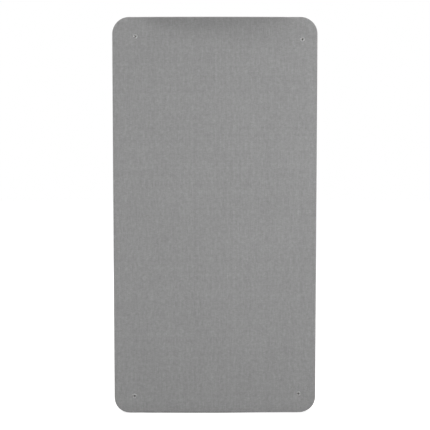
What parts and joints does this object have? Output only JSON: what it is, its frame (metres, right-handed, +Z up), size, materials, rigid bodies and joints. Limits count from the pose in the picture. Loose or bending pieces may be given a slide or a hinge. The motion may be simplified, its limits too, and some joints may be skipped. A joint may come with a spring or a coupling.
{
  "type": "wall punch pad",
  "caption": "Upright rounded wall pad of foam on a plywood board, under one stretched fabric cover, with an eyelet and screw way near each corner.",
  "frame": {"origin": "centre of the board's back face, where the pad lies on the wall", "axes": "+Z up the pad, +X to the right seen from the front, +Y into the wall, so the struck face looks along -Y"},
  "size_m": [0.61, 0.05, 1.19],
  "materials": {
    "plywood": "matte",
    "core_foam": "matte",
    "strike_foam": "matte",
    "cover_fabric": "matte",
    "staple_wire": "satin",
    "nickel": "satin",
    "webbing": "matte",
    "nylon": "satin"
  },
  "bodies": {
    "root": {"backboard": "plywood", "core_foam": "core_foam", "strike_foam": "strike_foam", "cover": "cover_fabric", "hem_staples": "staple_wire", "eyelet_top_left": "nickel", "eyelet_top_right": "nickel", "eyelet_bottom_left": "nickel", "eyelet_bottom_right": "nickel", "eyelet_washer_top_left": "nickel", "eyelet_washer_top_right": "nickel", "eyelet_washer_bottom_left": "nickel", "eyelet_washer_bottom_right": "nickel", "patch_top_left": "webbing", "patch_top_right": "webbing", "patch_bottom_left": "webbing", "patch_bottom_right": "webbing", "spacer_tube_top_left": "nylon", "spacer_tube_top_right": "nylon", "spacer_tube_bottom_left": "nylon", "spacer_tube_bottom_right": "nylon"}
  },
  "joints": []
}
